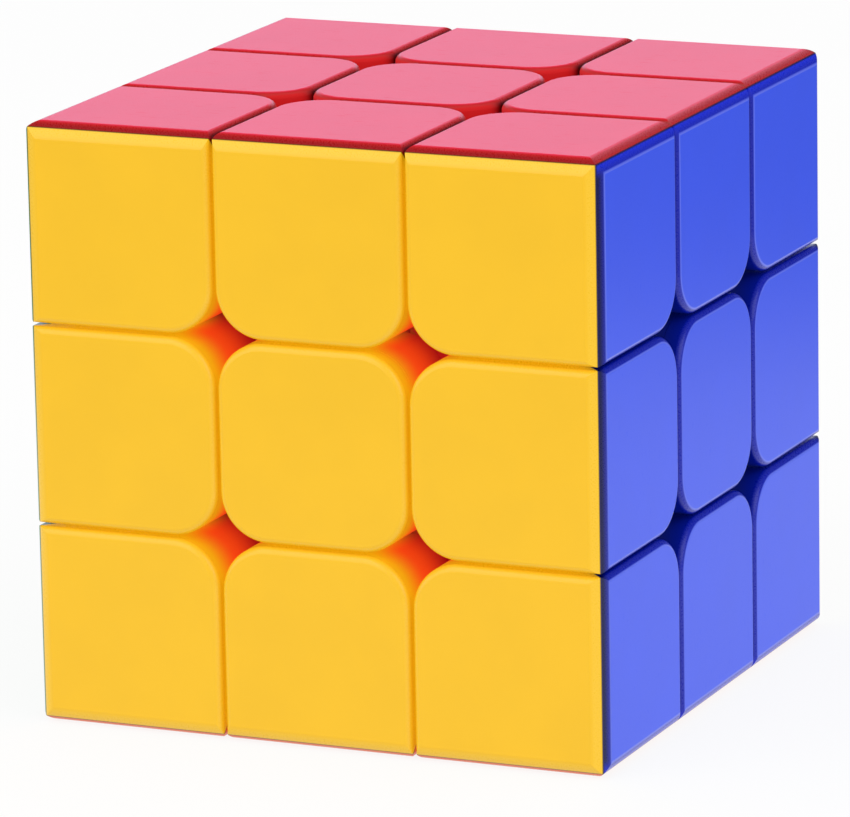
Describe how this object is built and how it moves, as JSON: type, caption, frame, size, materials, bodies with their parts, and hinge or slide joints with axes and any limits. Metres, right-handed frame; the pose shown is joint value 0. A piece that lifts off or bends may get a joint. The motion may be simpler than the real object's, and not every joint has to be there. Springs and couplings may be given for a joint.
{
  "type": "twisty puzzle cube",
  "caption": "Stickerless twisty puzzle cube whose coloured corner, edge and centre pieces turn in layers about a sprung inner core.",
  "frame": {"origin": "middle of the core, where all six turning axes meet", "axes": "+Z out of the red top face, -Y out of the yellow front face, +X out of the blue right face"},
  "size_m": [0.056, 0.056, 0.056],
  "materials": {
    "red_plastic": "satin moulded",
    "orange_plastic": "satin moulded",
    "yellow_plastic": "satin moulded",
    "white_plastic": "satin moulded",
    "green_plastic": "satin moulded",
    "blue_plastic": "satin moulded",
    "core_plastic": "moulded",
    "screw_steel": "zinc plated",
    "washer_steel": "polished",
    "spring_steel": "drawn wire"
  },
  "bodies": {
    "core": {"core_spider": "core_plastic", "axle_screws": "screw_steel", "spring_washers": "washer_steel", "tension_springs": "spring_steel"},
    "centre_top": {"centre_top_red": "red_plastic"},
    "centre_bottom": {"centre_bottom_orange": "orange_plastic"},
    "centre_front": {"centre_front_yellow": "yellow_plastic"},
    "centre_back": {"centre_back_white": "white_plastic"},
    "centre_left": {"centre_left_green": "green_plastic"},
    "centre_right": {"centre_right_blue": "blue_plastic"},
    "edge_top_front": {"edge_top_front_red": "red_plastic", "edge_top_front_yellow": "yellow_plastic"},
    "edge_top_back": {"edge_top_back_red": "red_plastic", "edge_top_back_white": "white_plastic"},
    "edge_bottom_front": {"edge_bottom_front_orange": "orange_plastic", "edge_bottom_front_yellow": "yellow_plastic"},
    "edge_bottom_back": {"edge_bottom_back_orange": "orange_plastic", "edge_bottom_back_white": "white_plastic"},
    "edge_top_left": {"edge_top_left_red": "red_plastic", "edge_top_left_green": "green_plastic"},
    "edge_top_right": {"edge_top_right_red": "red_plastic", "edge_top_right_blue": "blue_plastic"},
    "edge_bottom_left": {"edge_bottom_left_orange": "orange_plastic", "edge_bottom_left_green": "green_plastic"},
    "edge_bottom_right": {"edge_bottom_right_orange": "orange_plastic", "edge_bottom_right_blue": "blue_plastic"},
    "edge_front_left": {"edge_front_left_yellow": "yellow_plastic", "edge_front_left_green": "green_plastic"},
    "edge_front_right": {"edge_front_right_yellow": "yellow_plastic", "edge_front_right_blue": "blue_plastic"},
    "edge_back_left": {"edge_back_left_white": "white_plastic", "edge_back_left_green": "green_plastic"},
    "edge_back_right": {"edge_back_right_white": "white_plastic", "edge_back_right_blue": "blue_plastic"},
    "corner_top_front_left": {"corner_top_front_left_red": "red_plastic", "corner_top_front_left_yellow": "yellow_plastic", "corner_top_front_left_green": "green_plastic"},
    "corner_top_front_right": {"corner_top_front_right_red": "red_plastic", "corner_top_front_right_yellow": "yellow_plastic", "corner_top_front_right_blue": "blue_plastic"},
    "corner_top_back_left": {"corner_top_back_left_red": "red_plastic", "corner_top_back_left_white": "white_plastic", "corner_top_back_left_green": "green_plastic"},
    "corner_top_back_right": {"corner_top_back_right_red": "red_plastic", "corner_top_back_right_white": "white_plastic", "corner_top_back_right_blue": "blue_plastic"},
    "corner_bottom_front_left": {"corner_bottom_front_left_orange": "orange_plastic", "corner_bottom_front_left_yellow": "yellow_plastic", "corner_bottom_front_left_green": "green_plastic"},
    "corner_bottom_front_right": {"corner_bottom_front_right_orange": "orange_plastic", "corner_bottom_front_right_yellow": "yellow_plastic", "corner_bottom_front_right_blue": "blue_plastic"},
    "corner_bottom_back_left": {"corner_bottom_back_left_orange": "orange_plastic", "corner_bottom_back_left_white": "white_plastic", "corner_bottom_back_left_green": "green_plastic"},
    "corner_bottom_back_right": {"corner_bottom_back_right_orange": "orange_plastic", "corner_bottom_back_right_white": "white_plastic", "corner_bottom_back_right_blue": "blue_plastic"}
  },
  "joints": [
    {"name": "turn_top", "type": "hinge", "parent": "core", "child": "centre_top", "pos_m": [0, 0, 0], "axis": [0, 0, 1], "continuous": true},
    {"name": "turn_bottom", "type": "hinge", "parent": "core", "child": "centre_bottom", "pos_m": [0, 0, 0], "axis": [0, 0, -1], "continuous": true},
    {"name": "turn_front", "type": "hinge", "parent": "core", "child": "centre_front", "pos_m": [0, 0, 0], "axis": [0, -1, 0], "continuous": true},
    {"name": "turn_back", "type": "hinge", "parent": "core", "child": "centre_back", "pos_m": [0, 0, 0], "axis": [0, 1, 0], "continuous": true},
    {"name": "turn_left", "type": "hinge", "parent": "core", "child": "centre_left", "pos_m": [0, 0, 0], "axis": [-1, 0, 0], "continuous": true},
    {"name": "turn_right", "type": "hinge", "parent": "core", "child": "centre_right", "pos_m": [0, 0, 0], "axis": [1, 0, 0], "continuous": true},
    {"name": "edge_top_front_with_front", "type": "hinge", "parent": "centre_top", "child": "edge_top_front", "pos_m": [0, 0, 0], "axis": [0, -1, 0], "continuous": true},
    {"name": "edge_top_back_with_back", "type": "hinge", "parent": "centre_top", "child": "edge_top_back", "pos_m": [0, 0, 0], "axis": [0, 1, 0], "continuous": true},
    {"name": "edge_bottom_front_with_front", "type": "hinge", "parent": "centre_bottom", "child": "edge_bottom_front", "pos_m": [0, 0, 0], "axis": [0, -1, 0], "continuous": true},
    {"name": "edge_bottom_back_with_back", "type": "hinge", "parent": "centre_bottom", "child": "edge_bottom_back", "pos_m": [0, 0, 0], "axis": [0, 1, 0], "continuous": true},
    {"name": "edge_top_left_with_top", "type": "hinge", "parent": "centre_left", "child": "edge_top_left", "pos_m": [0, 0, 0], "axis": [0, 0, 1], "continuous": true},
    {"name": "edge_top_right_with_top", "type": "hinge", "parent": "centre_right", "child": "edge_top_right", "pos_m": [0, 0, 0], "axis": [0, 0, 1], "continuous": true},
    {"name": "edge_bottom_left_with_bottom", "type": "hinge", "parent": "centre_left", "child": "edge_bottom_left", "pos_m": [0, 0, 0], "axis": [0, 0, -1], "continuous": true},
    {"name": "edge_bottom_right_with_bottom", "type": "hinge", "parent": "centre_right", "child": "edge_bottom_right", "pos_m": [0, 0, 0], "axis": [0, 0, -1], "continuous": true},
    {"name": "edge_front_left_with_left", "type": "hinge", "parent": "centre_front", "child": "edge_front_left", "pos_m": [0, 0, 0], "axis": [-1, 0, 0], "continuous": true},
    {"name": "edge_front_right_with_right", "type": "hinge", "parent": "centre_front", "child": "edge_front_right", "pos_m": [0, 0, 0], "axis": [1, 0, 0], "continuous": true},
    {"name": "edge_back_left_with_left", "type": "hinge", "parent": "centre_back", "child": "edge_back_left", "pos_m": [0, 0, 0], "axis": [-1, 0, 0], "continuous": true},
    {"name": "edge_back_right_with_right", "type": "hinge", "parent": "centre_back", "child": "edge_back_right", "pos_m": [0, 0, 0], "axis": [1, 0, 0], "continuous": true},
    {"name": "corner_top_front_left_with_left", "type": "hinge", "parent": "edge_top_front", "child": "corner_top_front_left", "pos_m": [0, 0, 0], "axis": [-1, 0, 0], "continuous": true},
    {"name": "corner_top_front_right_with_right", "type": "hinge", "parent": "edge_top_front", "child": "corner_top_front_right", "pos_m": [0, 0, 0], "axis": [1, 0, 0], "continuous": true},
    {"name": "corner_top_back_left_with_left", "type": "hinge", "parent": "edge_top_back", "child": "corner_top_back_left", "pos_m": [0, 0, 0], "axis": [-1, 0, 0], "continuous": true},
    {"name": "corner_top_back_right_with_right", "type": "hinge", "parent": "edge_top_back", "child": "corner_top_back_right", "pos_m": [0, 0, 0], "axis": [1, 0, 0], "continuous": true},
    {"name": "corner_bottom_front_left_with_left", "type": "hinge", "parent": "edge_bottom_front", "child": "corner_bottom_front_left", "pos_m": [0, 0, 0], "axis": [-1, 0, 0], "continuous": true},
    {"name": "corner_bottom_front_right_with_right", "type": "hinge", "parent": "edge_bottom_front", "child": "corner_bottom_front_right", "pos_m": [0, 0, 0], "axis": [1, 0, 0], "continuous": true},
    {"name": "corner_bottom_back_left_with_left", "type": "hinge", "parent": "edge_bottom_back", "child": "corner_bottom_back_left", "pos_m": [0, 0, 0], "axis": [-1, 0, 0], "continuous": true},
    {"name": "corner_bottom_back_right_with_right", "type": "hinge", "parent": "edge_bottom_back", "child": "corner_bottom_back_right", "pos_m": [0, 0, 0], "axis": [1, 0, 0], "continuous": true}
  ],
  "couplings": [
    {"joint": "edge_top_front_with_front", "follows": "turn_front", "ratio": 1},
    {"joint": "edge_top_back_with_back", "follows": "turn_back", "ratio": 1},
    {"joint": "edge_bottom_front_with_front", "follows": "turn_front", "ratio": 1},
    {"joint": "edge_bottom_back_with_back", "follows": "turn_back", "ratio": 1},
    {"joint": "edge_top_left_with_top", "follows": "turn_top", "ratio": 1},
    {"joint": "edge_top_right_with_top", "follows": "turn_top", "ratio": 1},
    {"joint": "edge_bottom_left_with_bottom", "follows": "turn_bottom", "ratio": 1},
    {"joint": "edge_bottom_right_with_bottom", "follows": "turn_bottom", "ratio": 1},
    {"joint": "edge_front_left_with_left", "follows": "turn_left", "ratio": 1},
    {"joint": "edge_front_right_with_right", "follows": "turn_right", "ratio": 1},
    {"joint": "edge_back_left_with_left", "follows": "turn_left", "ratio": 1},
    {"joint": "edge_back_right_with_right", "follows": "turn_right", "ratio": 1},
    {"joint": "corner_top_front_left_with_left", "follows": "turn_left", "ratio": 1},
    {"joint": "corner_top_front_right_with_right", "follows": "turn_right", "ratio": 1},
    {"joint": "corner_top_back_left_with_left", "follows": "turn_left", "ratio": 1},
    {"joint": "corner_top_back_right_with_right", "follows": "turn_right", "ratio": 1},
    {"joint": "corner_bottom_front_left_with_left", "follows": "turn_left", "ratio": 1},
    {"joint": "corner_bottom_front_right_with_right", "follows": "turn_right", "ratio": 1},
    {"joint": "corner_bottom_back_left_with_left", "follows": "turn_left", "ratio": 1},
    {"joint": "corner_bottom_back_right_with_right", "follows": "turn_right", "ratio": 1}
  ]
}
